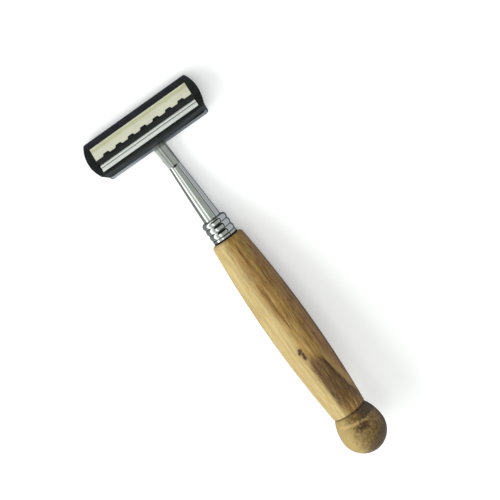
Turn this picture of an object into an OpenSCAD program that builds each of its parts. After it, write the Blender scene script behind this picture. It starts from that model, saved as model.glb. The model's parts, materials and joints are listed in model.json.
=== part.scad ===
// Twin-blade cartridge razor with a chrome T-head and a turned wooden handle.
//
// The razor lies on its back, face up, as it rests on a table. X runs across the cartridge, +Y towards the
// head and +Z up. The origin is under the middle of its length, on the table.
//
// Two inner frames are used. The handle frame has its Y axis on the handle's axis and y = 0 at the top of the
// wood. The head frame has its Z axis square to the cartridge and z = 0 at the cartridge's underside; in it,
// distances across the cartridge are called v (+v towards the cap) and heights are called w.

/* [Wooden handle] */
// Length of the wood, from the ferrule's gasket to the tip of the knob
wood_length = 83.2; // [82.8:0.1:83.6]
// Largest radius of the barrel
barrel_radius = 7.28; // [7:0.01:7.6]
// Distance from the top of the wood to the thickest part of the barrel
belly_distance = 36; // [33:0.5:39]
// Radius of the long arc that the barrel's side follows
barrel_arc_radius = 360; // [330:5:420]
// Radius of the rounded shoulder at the top of the wood
shoulder_radius = 1.15; // [0.8:0.05:1.3]
// Distance from the top of the wood to the groove above the knob
groove_distance = 67.8; // [67:0.1:68.2]
// Half of the groove's width
groove_half_width = 0.45; // [0.3:0.05:0.6]
// Radius at the bottom of the groove
groove_radius = 5.45; // [5.2:0.05:5.6]
// Largest radius of the knob
knob_radius = 7.72; // [7.5:0.01:8]
// Half of the length of the ellipse that the knob follows above its widest place
knob_high_half_length = 11; // [10.6:0.1:11.4]
// Half of the length of the ellipse that the knob follows below its widest place
knob_low_half_length = 7.8; // [7.6:0.05:8]

/* [Ferrule and neck] */
// Thickness of the black gasket ring
gasket_thickness = 0.5; // [0.3:0.05:0.8]
// Outer radius of the gasket ring
gasket_radius = 4.25; // [4.1:0.05:4.35]
// Thickness of the plain collar
collar_thickness = 0.9; // [0.7:0.05:1.2]
// Outer radius of the plain collar
collar_radius = 4.22; // [4:0.02:4.3]
// Number of beads on the ferrule
bead_count = 3; // [2:1:4]
// Distance from bead to bead
bead_pitch = 2.07; // [1.8:0.01:2.2]
// Radius of the ferrule over its beads
bead_radius = 4.32; // [4.2:0.02:4.5]
// Radius of the ferrule in the grooves between its beads
bead_groove_radius = 4.0; // [3.9:0.02:4.1]
// Length of the turned neck, from the ferrule to the knee
neck_length = 20.4; // [19:0.1:23]
// Radius of the neck where it meets the ferrule
neck_base_radius = 2.98; // [2.8:0.02:3.1]
// Radius of the neck at the knee
neck_tip_radius = 2.05; // [1.95:0.01:2.15]
// Distance from the knee to the T-bar
arm_length = 7.6; // [7:0.1:9]
// How far the arm rises towards the face between the knee and the T-bar
arm_rise = 2.5; // [2:0.1:2.6]

/* [T-bar] */
// Angle between the cartridge's face and the handle's axis
face_tilt = 22; // [20:0.5:23]
// Length of the T-bar across the razor
t_bar_length = 37.6; // [36:0.1:38]
// Thickness of the T-bar, square to the face
t_bar_thickness = 3.3; // [3.1:0.05:3.6]
// Length of the rail that the cartridge slides on
rail_length = 33; // [30:0.5:35]
// Width of the rail's head
rail_width = 3.6; // [3.5:0.05:3.7]
// Gap between the cartridge and the metal it slides on
slide_gap = 0.1; // [0.05:0.01:0.15]

/* [Cartridge] */
// Width of the cartridge's face, from top edge to guard
cartridge_height = 12.6; // [12.5:0.05:12.8]
// Length of the cartridge over its bulging end cheeks
cartridge_length = 41.8; // [41.4:0.1:42]
// Length of the seat and cap between the cheeks
stack_length = 36.7; // [36.6:0.1:36.9]
// Exposed length of the blades
blade_length = 36; // [35.5:0.1:36.2]
// Angle between the blades and the cartridge's underside
blade_angle = 14; // [13:0.5:15]
// Thickness of each blade
blade_thickness = 0.1; // [0.08:0.01:0.12]
// Thickness of the spacer between the blades
spacer_thickness = 0.2; // [0.15:0.01:0.3]
// Length of the lubricating strip
strip_length = 36.3; // [36:0.1:36.5]
// Number of tabs that hold the strip's lower edge
tab_count = 7; // [5:1:7]
// Distance from tab to tab
tab_pitch = 4.72; // [4.5:0.02:4.8]

/* [Hidden] */

round_fn = 96;
arc_steps = 10;
overlap = 1;

// Handle frame: heights along the axis, measured from the top of the wood
collar_y = gasket_thickness;
ferrule_y = collar_y + collar_thickness;
neck_y = ferrule_y + bead_count * bead_pitch;
knee_y = neck_y + neck_length;
arm_end_y = knee_y + arm_length;
belly_y = -belly_distance;
groove_y = -groove_distance;
knob_y = -wood_length + knob_low_half_length;

// Insert and stud
insert_radius = 3;
insert_length = 14;
insert_bore_depth = 15;
glue_gap = 0.02;
stud_radius = 1.95;
stud_hole_radius = 2;
stud_depth_in_insert = 12;
stud_depth_in_neck = 7.5;
spigot_radius = 2.6;
spigot_length = 2;

// Head frame, across the cartridge
top_v = cartridge_height / 2;
guard_v = -cartridge_height / 2;
t_bar_low_v = guard_v + 0.08;
t_bar_high_v = 1.2;
rail_v = -2.7;
heel_v = -0.9;
heel_width = 1.9;

// Head frame, square to the cartridge
t_bar_front_w = -slide_gap;
t_bar_back_w = t_bar_front_w - t_bar_thickness;
arm_w = (t_bar_front_w + t_bar_back_w) / 2;
face_w = 4.4;
guard_w = 3.75;

// The arm bends forward at the knee, and its centre line ends in the middle of the T-bar's lower wall
arm_bend = atan(arm_rise / arm_length);
head_y = arm_end_y - t_bar_low_v * cos(face_tilt) - arm_w * sin(face_tilt);
head_z = arm_rise + t_bar_low_v * sin(face_tilt) - arm_w * cos(face_tilt);

// The table touches the T-bar's heel and the wood's shoulder: its slope is a tangent to the shoulder's arc
heel_y = head_y + heel_v * cos(face_tilt) + t_bar_back_w * sin(face_tilt);
heel_z = head_z - heel_v * sin(face_tilt) + t_bar_back_w * cos(face_tilt);
shoulder_centre = [barrel_at(-shoulder_radius) - shoulder_radius, -shoulder_radius];
to_heel = [heel_y - shoulder_centre[1], heel_z + shoulder_centre[0]];
rest_tilt = atan2(to_heel[1], to_heel[0]) + asin(shoulder_radius / norm(to_heel));
lying_tilt = face_tilt + rest_tilt;
rest_z = heel_y * sin(rest_tilt) - heel_z * cos(rest_tilt);

// Top bar, and the ends of the whole length in the resting pose
top_bar_low_v = top_v - 2.15;
top_bar_back_w = 0.4;
top_bar_face_w = 4.25;
top_bar_round = 0.8;
top_bar_corner = 1.1;
tip_reach = norm([knob_low_half_length * cos(rest_tilt), knob_radius * sin(rest_tilt)]);
tip_end_y = knob_y * cos(rest_tilt) - tip_reach;
round_v = top_v - top_bar_round;
round_w = top_bar_face_w - top_bar_round;
head_end_y = head_y * cos(rest_tilt) + head_z * sin(rest_tilt)
    + round_v * cos(lying_tilt) + round_w * sin(lying_tilt) + top_bar_round;
rest_y = -(tip_end_y + head_end_y) / 2;

// Rail and the channel that slides on it
rail_neck_width = 2.2;
lip_w = 0.45;
rail_top_w = 1.35;
tenon_radius = 1.1;
tenon_depth = 1.8;
socket_depth = 4;

// Plunger, spring and plug, all on one axis through the T-bar
plunger_radius = 0.8;
plunger_bore_radius = 0.85;
flange_radius = 1.12;
spring_bore_radius = 1.2;
shoulder_w = -0.6;
flange_top_w = -0.65;
flange_thickness = 0.45;
plug_thickness = 0.8;
plug_top_w = t_bar_back_w + plug_thickness;
spring_wire_radius = 0.12;
spring_radius = 0.85;
spring_turns = 3.5;

// Blades: edge points, and the direction from edge to back
seat_edge = [-4.75, 3.89];
blade_back = [cos(blade_angle), -sin(blade_angle)];
blade_up = [sin(blade_angle), cos(blade_angle)];
stack_step = blade_thickness + spacer_thickness;
edge_span = 1.5;
seat_blade_width = 5.7;
cap_blade_width = 5.5;
edge_bevel = 0.12;
spacer_front = 2.6;
spacer_width = 4.5;

// Cap, strip and posts
lip_v = -1.95;
strip_low_v = -0.65;
strip_high_v = 3.75;
strip_floor_w = 3.85;
tab_height = 0.7;
tab_base_width = 2.6;
tab_top_width = 1.75;
strip_gap = 0.02;
post_v = 0.3;
post_radius = 0.5;
post_hole_radius = 0.55;
post_head_radius = 0.8;
post_head_w = 0.15;
post_head_thickness = 0.45;
post_spacing = 10;
post_count = 4;
shelf_w = 2;
shelf_v = 2.3;

// End cheeks
cheek_arc_radius = 12;
cheek_draft = 0.85;
bulge_centre_x = cartridge_length / 2 - cheek_arc_radius;
guard_bow_radius = 280;
cheek_inner_x = stack_length / 2 + 0.02;
cheek_corner = 1.8;
peg_radius = 0.55;
peg_length = 1.4;
peg_v = 3;
peg_w = 1;

// Points on an arc from one angle to another
function arc(centre, radius, from, to) = [
    for (i = [0:arc_steps])
        let (angle = from + (to - from) * i / arc_steps)
            centre + radius * [cos(angle), sin(angle)]
];

// Radius of the barrel at a height along the handle
function barrel_at(y) = barrel_radius - barrel_arc_radius + sqrt(pow(barrel_arc_radius, 2) - pow(y - belly_y, 2));

// A point on the stack of blades: along from the seat blade's edge, and up from its underside
function on_stack(along, up) = seat_edge + along * blade_back + up * blade_up;

// Lay the razor down on its back
module lying() {
    translate([0, rest_y, rest_z]) rotate([-rest_tilt, 0, 0]) children();
}

// Turn a profile of [radius, height along the handle] about the handle's axis
module turned() {
    lying() rotate([-90, 0, 0]) rotate_extrude($fn = round_fn) children();
}

// Go to the head frame
module on_head() {
    lying() translate([0, head_y, head_z]) rotate([-face_tilt, 0, 0]) children();
}

// Run a profile of [v, w] along X, centred
module across(length) {
    rotate([90, 0, 90]) translate([0, 0, -length / 2]) linear_extrude(length) children();
}

// A straight cylinder along w in the head frame
module post(radius, low_w, high_w) {
    translate([0, 0, low_w]) cylinder(r = radius, h = high_w - low_w, $fn = round_fn);
}

// A rectangle with rounded corners, made of exact arcs
module rounded_plan(width, low, high, corner) {
    translate([-width / 2 + corner, low]) square([width - 2 * corner, high - low]);
    translate([-width / 2, low + corner]) square([width, high - low - 2 * corner]);
    for (x = [-width / 2 + corner, width / 2 - corner]) {
        for (v = [low + corner, high - corner]) {
            translate([x, v]) circle(r = corner, $fn = round_fn);
        }
    }
}

// The wooden handle: rounded shoulder, barrel on one long arc, groove and knob
module wood_handle() {
    barrel_low_y = groove_y + groove_half_width;
    knob_high_y = groove_y - groove_half_width;
    barrel_high_y = -shoulder_radius;
    barrel_steps = 36;
    knob_steps = 30;
    color("burlywood") turned() difference() {
        polygon(concat(
            [[0, -wood_length], [0, 0]],
            arc(shoulder_centre, shoulder_radius, 90, 0),
            [for (i = [1:barrel_steps])
                let (y = barrel_high_y + (barrel_low_y - barrel_high_y) * i / barrel_steps)
                    [barrel_at(y), y]],
            [[groove_radius, groove_y]],
            [for (i = [0:knob_steps - 1])
                let (high_angle = asin((knob_high_y - knob_y) / knob_high_half_length))
                    let (angle = high_angle - (high_angle + 90) * i / knob_steps)
                        let (half_length = angle > 0 ? knob_high_half_length : knob_low_half_length)
                            [knob_radius * cos(angle), knob_y + half_length * sin(angle)]]
        ));
        translate([0, -insert_bore_depth]) square([insert_radius + glue_gap, insert_bore_depth + overlap]);
    }
}

module threaded_insert() {
    color("gold") turned() translate([stud_hole_radius, -insert_length])
        square([insert_radius - stud_hole_radius, insert_length]);
}

module handle_stud() {
    color("lightgray") turned() translate([0, -stud_depth_in_insert])
        square([stud_radius, stud_depth_in_insert + neck_y + stud_depth_in_neck]);
}

module gasket_ring() {
    color("black") turned() translate([stud_hole_radius, 0])
        square([gasket_radius - stud_hole_radius, gasket_thickness]);
}

module ferrule_collar() {
    edge = 0.12;
    color("silver") turned() polygon([
        [stud_hole_radius, collar_y],
        [collar_radius - edge, collar_y],
        [collar_radius, collar_y + edge],
        [collar_radius, ferrule_y - edge],
        [collar_radius - edge, ferrule_y],
        [stud_hole_radius, ferrule_y]
    ]);
}

// The ferrule: beads that are arcs between narrow grooves, with a domed top
module ferrule() {
    rise = bead_radius - bead_groove_radius;
    bead_arc = (pow(bead_pitch / 2, 2) + pow(rise, 2)) / (2 * rise);
    half_angle = asin(bead_pitch / 2 / bead_arc);
    dome_radius = bead_pitch / 2;
    color("silver") turned() difference() {
        polygon(concat(
            [[stud_hole_radius, neck_y], [stud_hole_radius, ferrule_y]],
            [for (i = [0:bead_count - 2])
                each arc([bead_radius - bead_arc, ferrule_y + (i + 0.5) * bead_pitch], bead_arc,
                    -half_angle, half_angle)],
            arc([bead_radius - bead_arc, neck_y - bead_pitch / 2], bead_arc, -half_angle, 0),
            arc([bead_radius - dome_radius, neck_y - dome_radius], dome_radius, 0, 90)
        ));
        translate([0, neck_y - spigot_length - glue_gap])
            square([spigot_radius + glue_gap, spigot_length + overlap]);
    }
}

// The neck: a slightly bulging cone with a spigot in the ferrule, a threaded hole and a socket for the arm
module neck() {
    steps = 16;
    bulge = 1.25;
    tip_chamfer = 0.15;
    tip_y = knee_y - tip_chamfer;
    color("silver") turned() difference() {
        polygon(concat(
            [[0, knee_y], [0, neck_y - spigot_length], [spigot_radius, neck_y - spigot_length],
                [spigot_radius, neck_y]],
            [for (i = [0:steps])
                let (part = i / steps)
                    [neck_base_radius + (neck_tip_radius - neck_base_radius) * pow(part, bulge),
                        neck_y + (tip_y - neck_y) * part]],
            [[neck_tip_radius - tip_chamfer, knee_y]]
        ));
        translate([0, neck_y - spigot_length - overlap])
            square([stud_hole_radius, spigot_length + overlap + stud_depth_in_neck + glue_gap]);
        translate([0, knee_y - socket_depth - glue_gap])
            square([tenon_radius + glue_gap, socket_depth + overlap]);
    }
}

// Outside of the T-bar without its rail: flat front, rounded lower corner and a heel that lies on the table
module t_bar_block() {
    low_round = 1.3;
    high_round = 0.5;
    heel_rise = heel_width * tan(lying_tilt);
    end_corner = 1.6;
    intersection() {
        across(t_bar_length) polygon(concat(
            [[t_bar_high_v, t_bar_front_w], [t_bar_low_v, t_bar_front_w]],
            arc([t_bar_low_v + low_round, t_bar_back_w + low_round], low_round, 180, 270),
            [[heel_v, t_bar_back_w], [heel_v + heel_width, t_bar_back_w + heel_rise],
                [t_bar_high_v, t_bar_back_w + heel_rise + high_round]]
        ));
        translate([0, 0, t_bar_back_w - overlap]) linear_extrude(t_bar_thickness + 2 * overlap)
            rounded_plan(t_bar_length, t_bar_low_v, t_bar_high_v, end_corner);
    }
}

// The arm: two flat facets that meet in a ridge, with round tenons into the neck and the T-bar
module head_arm() {
    half_width = 1.95;
    edge_z = 1;
    ridge_z = 1.75;
    back_z = -1.75;
    back_half_width = 1.3;
    widening = 1.12;
    flattening = 0.68;
    knee_sink = 0.6;
    knee_pocket = 5;
    color("silver") union() {
        difference() {
            lying() translate([0, knee_y - knee_sink, 0]) rotate([arm_bend - 90, 0, 0])
                linear_extrude(arm_length / cos(arm_bend) + overlap, scale = [widening, flattening])
                    polygon([
                        [0, -ridge_z], [half_width, -edge_z], [half_width, edge_z],
                        [back_half_width, -back_z], [-back_half_width, -back_z],
                        [-half_width, edge_z], [-half_width, -edge_z]
                    ]);
            lying() translate([-knee_pocket, knee_y - knee_pocket, -knee_pocket])
                cube([2 * knee_pocket, knee_pocket, 2 * knee_pocket]);
            on_head() t_bar_block();
            on_head() translate([-half_width * 2, t_bar_low_v - slide_gap, t_bar_front_w])
                cube([half_width * 4, arm_length, arm_length]);
            on_head() translate([-half_width * 2, t_bar_low_v, t_bar_back_w - arm_length])
                cube([half_width * 4, arm_length, 2 * arm_length]);
        }
        lying() translate([0, knee_y - socket_depth, 0]) rotate([-90, 0, 0])
            cylinder(r = tenon_radius, h = socket_depth + overlap, $fn = round_fn);
        on_head() translate([0, t_bar_low_v - overlap / 2, arm_w]) rotate([-90, 0, 0])
            cylinder(r = tenon_radius, h = tenon_depth + overlap / 2, $fn = round_fn);
    }
}

// The T-bar with its rail, the plunger's stepped bore and the hole for the arm's tenon
module t_bar() {
    color("silver") on_head() difference() {
        union() {
            t_bar_block();
            across(rail_length) polygon([
                [rail_v - rail_neck_width / 2, t_bar_front_w - overlap],
                [rail_v + rail_neck_width / 2, t_bar_front_w - overlap],
                [rail_v + rail_neck_width / 2, lip_w + slide_gap],
                [rail_v + rail_width / 2, lip_w + slide_gap],
                [rail_v + rail_width / 2, rail_top_w],
                [rail_v - rail_width / 2, rail_top_w],
                [rail_v - rail_width / 2, lip_w + slide_gap],
                [rail_v - rail_neck_width / 2, lip_w + slide_gap]
            ]);
        }
        translate([0, rail_v, 0]) post(plunger_bore_radius, shoulder_w - overlap, rail_top_w + overlap);
        translate([0, rail_v, 0]) post(spring_bore_radius, t_bar_back_w - overlap, shoulder_w);
        translate([0, t_bar_low_v - overlap, arm_w]) rotate([-90, 0, 0])
            cylinder(r = tenon_radius + glue_gap, h = tenon_depth + overlap + glue_gap, $fn = round_fn);
    }
}

module retainer_plunger() {
    nose_w = rail_top_w + slide_gap / 2;
    color("gray") on_head() translate([0, rail_v, 0]) {
        post(plunger_radius, flange_top_w - flange_thickness / 2, nose_w);
        post(flange_radius, flange_top_w - flange_thickness, flange_top_w);
    }
}

// A coil spring: rings of points along a helix, joined into one closed tube
module retainer_spring() {
    sides = 8;
    steps_per_turn = 20;
    low_w = plug_top_w + spring_wire_radius;
    high_w = flange_top_w - flange_thickness - spring_wire_radius;
    last = round(spring_turns * steps_per_turn);
    points = [
        for (i = [0:last])
            for (j = [0:sides - 1])
                let (turn = 360 * i / steps_per_turn, side = 360 * j / sides)
                    let (out = spring_radius + spring_wire_radius * cos(side))
                        [out * cos(turn), out * sin(turn),
                            low_w + (high_w - low_w) * i / last + spring_wire_radius * sin(side)]
    ];
    faces = concat(
        [[for (j = [0:sides - 1]) j]],
        [for (i = [0:last - 1])
            for (j = [0:sides - 1])
                let (next = (j + 1) % sides)
                    [i * sides + j, (i + 1) * sides + j, (i + 1) * sides + next, i * sides + next]],
        [[for (j = [sides - 1:-1:0]) last * sides + j]]
    );
    color("dimgray") on_head() translate([0, rail_v, 0]) polyhedron(points, faces);
}

module retainer_plug() {
    color("silver") on_head() translate([0, rail_v, 0])
        post(spring_bore_radius - glue_gap, t_bar_back_w + glue_gap, plug_top_w);
}

// Side profile that the cartridge's outside keeps to, from guard to top bar
module cartridge_side() {
    polygon(concat(
        [[top_bar_low_v, 0], [guard_v, 0]],
        arc([guard_v + 0.95, guard_w - 0.95], 0.95, 180, 90),
        [[lip_v, face_w - 0.05], [top_bar_low_v, face_w - 0.05]]
    ));
}

// Keeps a shape inside the guard's slightly bowed lower edge
module bowed() {
    intersection() {
        children();
        translate([0, guard_v + guard_bow_radius, -overlap])
            cylinder(r = guard_bow_radius, h = face_w + 2 * overlap, $fn = 8 * round_fn);
    }
}

// Outline of the whole face. Each corner is an arc that runs on into the bulge of the ends
module face_plan() {
    function corner_x(corner, corner_v) =
        bulge_centre_x + sqrt(pow(cheek_arc_radius - corner, 2) - pow(corner_v, 2));
    function joint_v(corner, corner_v) = corner_v * cheek_arc_radius / (cheek_arc_radius - corner);
    low_corner_v = guard_v + cheek_corner;
    high_corner_v = top_v - top_bar_corner;
    low_v = joint_v(cheek_corner, low_corner_v);
    high_v = joint_v(top_bar_corner, high_corner_v);
    translate([-cartridge_length / 2, low_v]) square([cartridge_length, high_v - low_v]);
    rounded_plan(2 * (corner_x(cheek_corner, low_corner_v) + cheek_corner), guard_v, 0, cheek_corner);
    rounded_plan(2 * (corner_x(top_bar_corner, high_corner_v) + top_bar_corner), 0, top_v, top_bar_corner);
}

// The room inside one of the bulging ends, whose wall leans in towards the underside
module end_bulge(side) {
    translate([side * bulge_centre_x, 0, 0])
        cylinder(r1 = cheek_arc_radius - cheek_draft, r2 = cheek_arc_radius, h = face_w, $fn = 4 * round_fn);
}

// The T-shaped channel that runs right through the cartridge
module channel() {
    across(cartridge_length + 2 * overlap) {
        translate([rail_v - rail_neck_width / 2 - slide_gap, -overlap])
            square([rail_neck_width + 2 * slide_gap, overlap + lip_w + slide_gap]);
        translate([rail_v - rail_width / 2 - slide_gap, lip_w])
            square([rail_width + 2 * slide_gap, rail_top_w + slide_gap - lip_w]);
    }
}

// Places of the cap's posts
module each_post() {
    for (i = [0:post_count - 1]) {
        translate([(i - (post_count - 1) / 2) * post_spacing, post_v, 0]) children();
    }
}

// The seat: guard bar, sloping platform for the lower blade, rear shelf and rail channel
module cartridge_seat() {
    platform_start = 0.5;
    platform_end = 6;
    groove_v = -4.95;
    color("dimgray") on_head() difference() {
        bowed() across(stack_length) polygon(concat(
            [[top_bar_low_v - strip_gap, shelf_w], [top_bar_low_v - strip_gap, 0], [guard_v, 0]],
            arc([guard_v + 0.95, guard_w - 0.95], 0.95, 180, 60),
            [[groove_v, guard_w - 0.5]],
            [on_stack(platform_start, 0) - [0, 0.25]],
            [on_stack(platform_start, 0), on_stack(platform_end, 0)],
            [[on_stack(platform_end, 0)[0], shelf_w]]
        ));
        channel();
        each_post() {
            post(post_hole_radius, post_head_w, face_w);
            post(post_head_radius + glue_gap, -overlap, post_head_w + post_head_thickness);
        }
        for (side = [-1, 1]) {
            translate([side * stack_length / 2, peg_v, peg_w]) rotate([0, 90, 0])
                cylinder(r = peg_radius + glue_gap, h = 2 * (peg_length + glue_gap), center = true, $fn = round_fn);
        }
    }
}

// A blade: a thin strip whose upper side is ground down to the edge, with holes for the posts
module blade(edge_along, up, width) {
    difference() {
        across(blade_length) polygon([
            on_stack(edge_along, up),
            on_stack(edge_along + width, up),
            on_stack(edge_along + width, up + blade_thickness),
            on_stack(edge_along + edge_bevel, up + blade_thickness)
        ]);
        each_post() post(post_hole_radius, 0, face_w + overlap);
    }
}

module seat_blade() {
    color("whitesmoke") on_head() blade(0, 0, seat_blade_width);
}

module blade_spacer() {
    low = blade_thickness;
    color("lightgray") on_head() difference() {
        across(blade_length) polygon([
            on_stack(spacer_front, low),
            on_stack(spacer_front + spacer_width, low),
            on_stack(spacer_front + spacer_width, low + spacer_thickness),
            on_stack(spacer_front, low + spacer_thickness)
        ]);
        each_post() post(post_hole_radius, 0, face_w + overlap);
    }
}

module cap_blade() {
    edge_along = (edge_span + stack_step * -blade_up[0]) / blade_back[0];
    color("whitesmoke") on_head() blade(edge_along, stack_step, cap_blade_width);
}

// The cap: lip, pocket for the strip, tabs along the pocket's lower edge and posts staked under the seat
module cap() {
    stack_top = stack_step + blade_thickness;
    lip_round = 0.25;
    function under_cap(v) = on_stack(0, stack_top)[1] - (v - on_stack(0, stack_top)[0]) * tan(blade_angle);
    color("black") on_head() union() {
        difference() {
            across(stack_length) polygon([
                [lip_v, under_cap(lip_v)],
                [shelf_v, under_cap(shelf_v)],
                [shelf_v, shelf_w],
                [top_bar_low_v - strip_gap, shelf_w],
                [top_bar_low_v - strip_gap, face_w - 0.05],
                [strip_high_v, face_w],
                [lip_v + lip_round, face_w],
                [lip_v, face_w - lip_round]
            ]);
            translate([0, 0, strip_floor_w]) linear_extrude(overlap) difference() {
                translate([-strip_length / 2, strip_low_v]) square([strip_length, strip_high_v - strip_low_v]);
                tabs(0);
            }
        }
        each_post() {
            post(post_radius, post_head_w, strip_floor_w - 0.2);
            post(post_head_radius, post_head_w, post_head_w + post_head_thickness);
        }
    }
}

// Outlines of the tabs along the strip's lower edge, grown by a gap
module tabs(gap) {
    for (i = [0:tab_count - 1]) {
        translate([(i - (tab_count - 1) / 2) * tab_pitch, strip_low_v]) polygon([
            [-tab_base_width / 2 - gap, -overlap],
            [tab_base_width / 2 + gap, -overlap],
            [tab_base_width / 2 + gap, 0],
            [tab_top_width / 2 + gap, tab_height + gap],
            [-tab_top_width / 2 - gap, tab_height + gap],
            [-tab_base_width / 2 - gap, 0]
        ]);
    }
}

module lubricating_strip() {
    color("beige") on_head() translate([0, 0, strip_floor_w + strip_gap])
        linear_extrude(face_w - strip_floor_w) difference() {
            translate([-strip_length / 2 + strip_gap, strip_low_v + strip_gap])
                square([strip_length - 2 * strip_gap, strip_high_v - strip_low_v - 2 * strip_gap]);
            tabs(strip_gap);
        }
}

// The dark bar along the top edge, whose ends carry on the cheeks' bulge
module top_bar() {
    color("darkslategray") on_head() intersection() {
        across(cartridge_length) polygon(concat(
            [[top_bar_low_v, top_bar_back_w], [top_bar_low_v, top_bar_face_w]],
            arc([round_v, round_w], top_bar_round, 90, 0),
            [[top_v, top_bar_back_w + top_bar_round / 2], [top_v - top_bar_round / 2, top_bar_back_w]]
        ));
        linear_extrude(face_w) face_plan();
        union() {
            end_bulge(-1);
            end_bulge(1);
        }
    }
}

// An end cheek: bulging outer edge, the cartridge's side profile, the channel and a peg into the seat
module end_cheek(side) {
    reach = cartridge_length / 2;
    color("dimgray") on_head() union() {
        difference() {
            bowed() intersection() {
                linear_extrude(face_w) intersection() {
                    face_plan();
                    translate([side > 0 ? cheek_inner_x : -cheek_inner_x - reach, guard_v])
                        square([reach, top_bar_low_v - strip_gap - guard_v]);
                }
                end_bulge(side);
                across(cartridge_length + overlap) cartridge_side();
            }
            channel();
        }
        translate([side * (cheek_inner_x - peg_length), peg_v, peg_w]) rotate([0, side * 90, 0])
            cylinder(r = peg_radius, h = peg_length + overlap, $fn = round_fn);
    }
}

module left_end_cheek() {
    end_cheek(-1);
}

module right_end_cheek() {
    end_cheek(1);
}

wood_handle();
threaded_insert();
handle_stud();
gasket_ring();
ferrule_collar();
ferrule();
neck();
head_arm();
t_bar();
retainer_plunger();
retainer_spring();
retainer_plug();
cartridge_seat();
seat_blade();
blade_spacer();
cap_blade();
cap();
lubricating_strip();
top_bar();
left_end_cheek();
right_end_cheek();
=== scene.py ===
"""A twin-blade cartridge razor with a turned wooden handle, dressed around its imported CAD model.

Shapes are drawn in millimetres in two frames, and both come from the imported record.
Handle frame: y runs along the handle, 0 at the top of the wood and towards the head, and z is up
from its axis. Head frame: y runs across the cartridge's face, towards the top bar, and z is square
to the face, 0 at its underside.
"""

import json
import math

import bmesh
import bpy
from mathutils import Euler, Matrix, Vector, noise

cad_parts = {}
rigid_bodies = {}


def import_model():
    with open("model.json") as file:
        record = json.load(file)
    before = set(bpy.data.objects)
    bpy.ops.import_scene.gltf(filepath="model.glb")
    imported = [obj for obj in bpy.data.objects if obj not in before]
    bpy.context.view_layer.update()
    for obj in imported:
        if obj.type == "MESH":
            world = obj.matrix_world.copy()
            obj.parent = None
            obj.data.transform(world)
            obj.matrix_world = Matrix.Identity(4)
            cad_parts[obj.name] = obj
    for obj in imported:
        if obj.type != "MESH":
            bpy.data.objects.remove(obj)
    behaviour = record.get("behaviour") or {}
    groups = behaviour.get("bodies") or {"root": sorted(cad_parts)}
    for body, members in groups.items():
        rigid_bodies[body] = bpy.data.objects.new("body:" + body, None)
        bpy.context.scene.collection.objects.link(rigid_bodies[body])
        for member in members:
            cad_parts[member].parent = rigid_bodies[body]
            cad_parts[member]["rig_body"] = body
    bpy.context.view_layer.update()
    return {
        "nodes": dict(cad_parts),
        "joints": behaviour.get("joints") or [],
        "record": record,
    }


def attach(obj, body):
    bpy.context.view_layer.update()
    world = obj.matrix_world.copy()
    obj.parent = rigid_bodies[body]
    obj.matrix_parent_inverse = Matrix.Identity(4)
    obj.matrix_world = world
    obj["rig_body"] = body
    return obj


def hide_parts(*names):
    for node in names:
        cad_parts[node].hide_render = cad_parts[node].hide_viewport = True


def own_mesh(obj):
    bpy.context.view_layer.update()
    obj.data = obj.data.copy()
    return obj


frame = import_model()

MM = 0.001
TURN = 2 * math.pi

# --------------------------------------------------------------------------------------------------
# Driving dimensions, in millimetres
# --------------------------------------------------------------------------------------------------

# Wooden handle
WOOD_LENGTH = 83.2
BARREL_RADIUS = 7.28
BELLY_Y = -36
BARREL_ARC = 360
SHOULDER_RADIUS = 1.15
GROOVE_Y = -67.8
GROOVE_HALF_WIDTH = 0.45
GROOVE_RADIUS = 5.45
KNOB_RADIUS = 7.72
KNOB_HIGH_HALF_LENGTH = 11
KNOB_LOW_HALF_LENGTH = 7.8
KNOB_Y = KNOB_LOW_HALF_LENGTH - WOOD_LENGTH
BORE_RADIUS = 3.02
BORE_DEPTH = 15
KNOT_HEARTS = (
    (-0.05, 1.3, 0.85, 0.95),
    (-0.75, 0.6, 0.55, 0.65),
    (0.2, -0.1, 0.6, 0.75),
    (0.15, -1.35, 0.9, 1.0),
)
KNOT = Vector((-0.6, -42.9))

# Gasket, collar, ferrule and neck
HOLE_RADIUS = 2
GASKET_TOP = 0.5
GASKET_RADIUS = 4.25
COLLAR_TOP = 1.4
COLLAR_RADIUS = 4.22
BEAD_COUNT = 3
BEAD_PITCH = 2.07
BEAD_RADIUS = 4.32
BEAD_GROOVE_RADIUS = 4.0
NECK_Y = COLLAR_TOP + BEAD_COUNT * BEAD_PITCH
NECK_LENGTH = 20.4
KNEE_Y = NECK_Y + NECK_LENGTH
NECK_BASE_RADIUS = 2.98
NECK_TIP_RADIUS = 2.05
SPIGOT_RADIUS = 2.6
SPIGOT_LENGTH = 2
STUD_DEPTH_IN_NECK = 7.5
SOCKET_RADIUS = 1.12
SOCKET_DEPTH = 4

# Arm and T-bar
ARM_LENGTH = 7.6
ARM_RISE = 2.5
ARM_HALF_WIDTH = 1.95
ARM_EDGE_Z = 1
ARM_RIDGE_Z = 1.75
ARM_BACK_HALF_WIDTH = 1.3
ARM_WIDENING = 1.12
ARM_FLATTENING = 0.68
ARM_SUNK_IN_BAR = 0.9
T_BAR_LOW_V = -6.22
T_BAR_BACK_W = -3.4
HEEL_MID_V = 0.05
HEEL_WIDTH = 1.9

# Spring behind the plunger that holds the cartridge
PLUNGER_V = -2.7
SPRING_LOW_W = -2.6
SPRING_HIGH_W = -1.1
SPRING_RADIUS = 0.85
SPRING_WIRE_RADIUS = 0.12
SPRING_TURNS = 3.5

# --------------------------------------------------------------------------------------------------
# The two drawing frames
# --------------------------------------------------------------------------------------------------

mounts = {mount["name"]: mount for mount in frame["record"]["mounts"]}
joints = {joint["name"]: joint for joint in frame["joints"]}


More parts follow.
